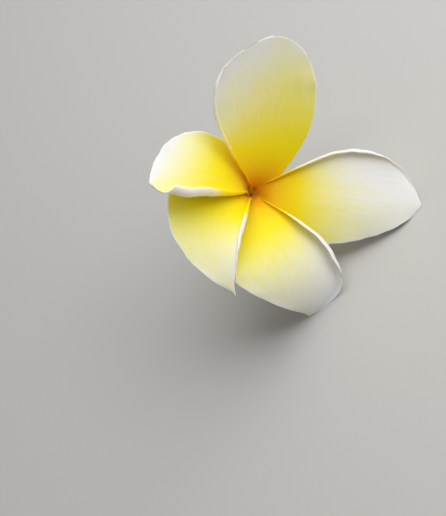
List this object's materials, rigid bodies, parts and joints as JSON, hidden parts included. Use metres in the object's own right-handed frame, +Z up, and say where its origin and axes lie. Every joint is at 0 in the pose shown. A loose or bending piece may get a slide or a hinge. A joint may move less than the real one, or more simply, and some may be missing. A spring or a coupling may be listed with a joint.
{
  "type": "plumeria flower",
  "caption": "Picked plumeria blossom lying on its side: overlapping waxy petals round a narrow throat, on a slim tube with small sepals and a short cut stalk.",
  "frame": {"origin": "centre of the bounding box on the surface that the flower lies on", "axes": "+Z up from the surface, the flower faces -Y and its tube and stalk run back towards +Y"},
  "size_m": [0.068, 0.0696, 0.0559],
  "materials": {
    "petal": "waxy satin, deep yellow throat fading to white",
    "tube": "waxy satin",
    "stalk": "smooth satin, green",
    "sepal": "smooth satin, green",
    "pistil": "smooth, pale green",
    "anther": "matte, dusty yellow"
  },
  "bodies": {
    "root": {"petal_top": "petal", "petal_right": "petal", "petal_lower_right": "petal", "petal_lower_left": "petal", "petal_upper_left": "petal", "corolla_tube": "tube", "stalk": "stalk", "sepal_1": "sepal", "sepal_2": "sepal", "sepal_3": "sepal", "sepal_4": "sepal", "sepal_5": "sepal", "pistil": "pistil", "stamen_1": "anther", "stamen_2": "anther", "stamen_3": "anther", "stamen_4": "anther", "stamen_5": "anther"}
  },
  "joints": []
}
